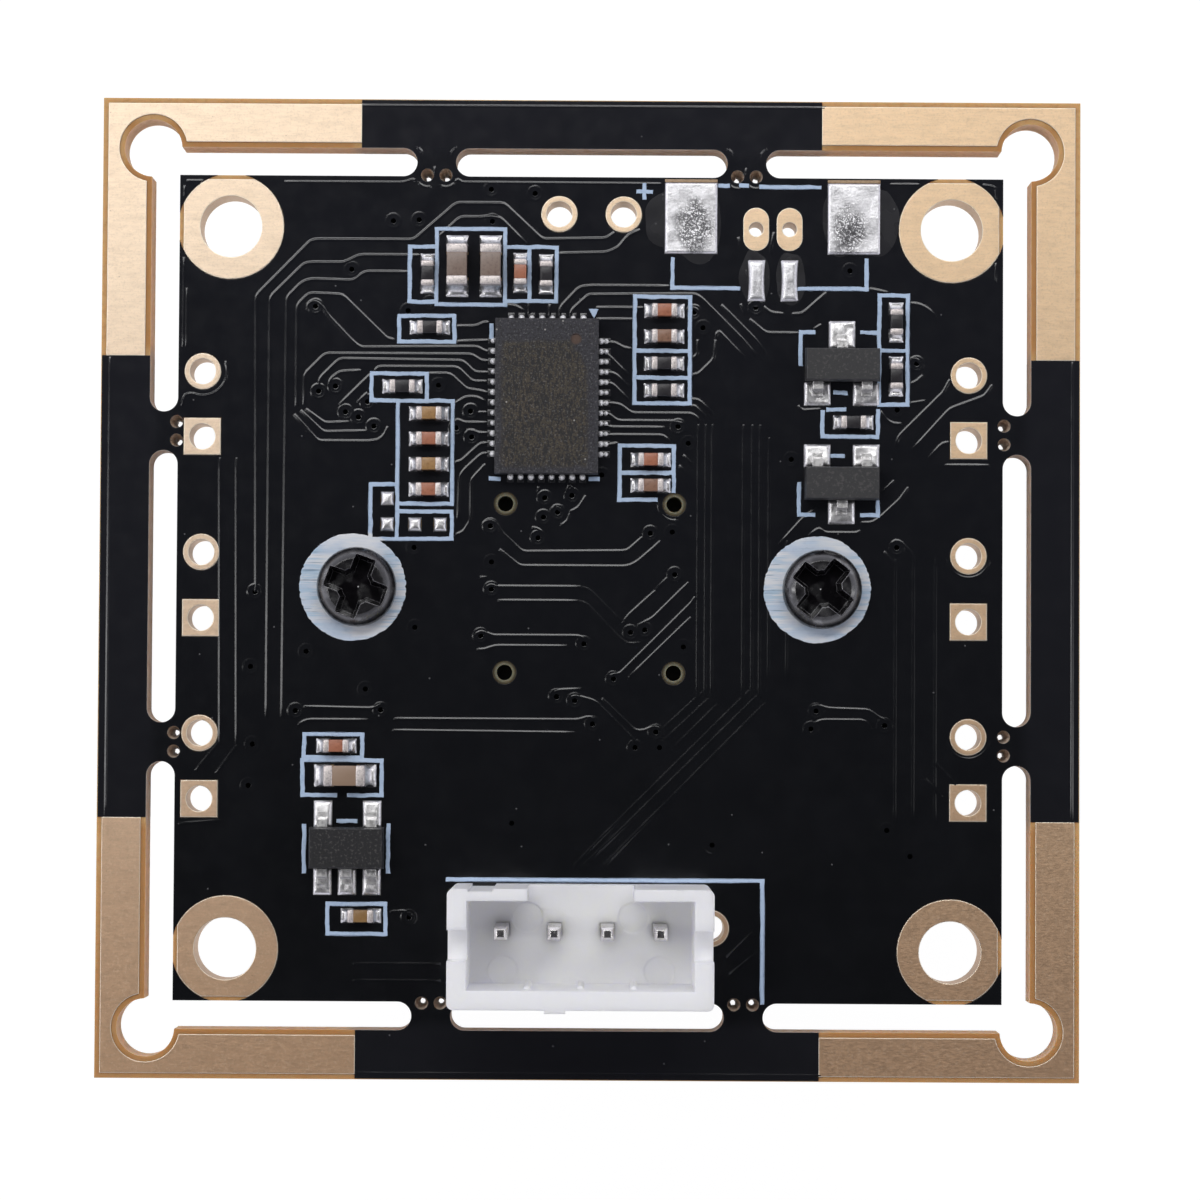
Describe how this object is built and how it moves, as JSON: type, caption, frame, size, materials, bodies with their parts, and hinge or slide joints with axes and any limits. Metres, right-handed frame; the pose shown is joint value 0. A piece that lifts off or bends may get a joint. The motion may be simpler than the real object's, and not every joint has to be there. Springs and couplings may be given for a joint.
{
  "type": "camera module",
  "caption": "Board camera with a screw-focus lens under it, a pin connector on its component side and a break-away frame.",
  "frame": {"origin": "centre of the four mounting holes, on the laminate's component face", "axes": "+Z leaves the component side; the lens points along -Z; the connector stands at the -Y edge; +X is to the right when the component side is seen with the connector below"},
  "size_m": [0.038, 0.038, 0.0255],
  "materials": {
    "laminate": "bare glass-epoxy laminate, routed edges",
    "solder_mask": "glossy black solder mask",
    "gold_plating": "immersion gold over copper, satin",
    "tinned_solder": "grainy tinned solder",
    "solder": "bright reflowed solder",
    "legend_ink": "pale bluish printed ink",
    "processor_resin": "ground moulding resin, fine grain",
    "transistor_resin": "moulding resin",
    "ceramic_grey": "fired ceramic chip, grey brown, tinned ends",
    "ceramic_tan": "fired ceramic chip, tan, tinned ends",
    "ceramic_orange": "fired ceramic chip, orange brown, tinned ends",
    "ceramic_brown": "fired ceramic chip, brown, tinned ends",
    "resistor_film": "black glazed film on ceramic, tinned ends",
    "tinned_leg": "matt tin plate",
    "pin_metal": "tin-plated square wire",
    "white_nylon": "moulded nylon, slightly translucent",
    "black_steel": "black oxide steel",
    "holder_plastic": "black moulded plastic, fine texture",
    "sensor_ceramic": "dark alumina",
    "silicon": "polished silicon with a fine array",
    "clear_glass": "flat cover glass",
    "filter_glass": "coated filter glass with a red reflection",
    "lens_glass": "coated optical glass",
    "barrel_metal": "black anodised, satin",
    "spacer_plastic": "matt black"
  },
  "bodies": {
    "module": {"laminate_board": "laminate", "rear_solder_mask": "solder_mask", "front_solder_mask": "solder_mask", "frame_corner_plating": "gold_plating", "mounting_hole_plating": "gold_plating", "round_hole_plating": "gold_plating", "square_hole_plating": "gold_plating", "oval_hole_plating": "gold_plating", "tinned_lands": "tinned_solder", "chip_solder_joints": "solder", "leg_solder": "solder", "pin_solder_cones": "solder", "printed_legend": "legend_ink", "image_processor": "processor_resin", "processor_leads": "solder", "capacitor_01": "ceramic_grey", "capacitor_02": "ceramic_grey", "capacitor_03": "ceramic_tan", "capacitor_04": "ceramic_orange", "capacitor_05": "ceramic_orange", "capacitor_06": "ceramic_brown", "capacitor_07": "ceramic_tan", "capacitor_08": "ceramic_orange", "capacitor_09": "ceramic_tan", "capacitor_10": "ceramic_orange", "capacitor_11": "ceramic_orange", "capacitor_12": "ceramic_brown", "capacitor_13": "ceramic_orange", "capacitor_14": "ceramic_tan", "resistor_01": "resistor_film", "resistor_02": "resistor_film", "resistor_03": "resistor_film", "resistor_04": "resistor_film", "resistor_05": "resistor_film", "resistor_06": "resistor_film", "resistor_07": "resistor_film", "resistor_08": "resistor_film", "resistor_09": "resistor_film", "transistor_1_body": "transistor_resin", "transistor_1_legs": "tinned_leg", "transistor_2_body": "transistor_resin", "transistor_2_legs": "tinned_leg", "regulator_body": "transistor_resin", "regulator_legs": "tinned_leg", "connector_housing": "white_nylon", "connector_pins": "pin_metal", "holder_screws": "black_steel", "lens_holder": "holder_plastic", "sensor_package": "sensor_ceramic", "sensor_die": "silicon", "sensor_cover_glass": "clear_glass", "infrared_filter": "filter_glass"},
    "lens_optics": {"front_lens_element": "lens_glass", "middle_lens_element": "lens_glass", "rear_lens_element": "lens_glass", "element_spacer": "spacer_plastic"},
    "lens_barrel": {"lens_barrel": "barrel_metal", "retaining_ring": "barrel_metal"}
  },
  "joints": [
    {"name": "lens_travel", "type": "slide", "parent": "module", "child": "lens_optics", "axis": [0, 0, 1], "range_m": [-0.001, 0.001]},
    {"name": "lens_turn", "type": "hinge", "parent": "lens_optics", "child": "lens_barrel", "pos_m": [0, 0, -0.012], "axis": [0, 0, 1], "range_deg": [-724, 724]}
  ],
  "couplings": [
    {"joint": "lens_turn", "follows": "lens_travel", "rad_per_m": 12566}
  ]
}
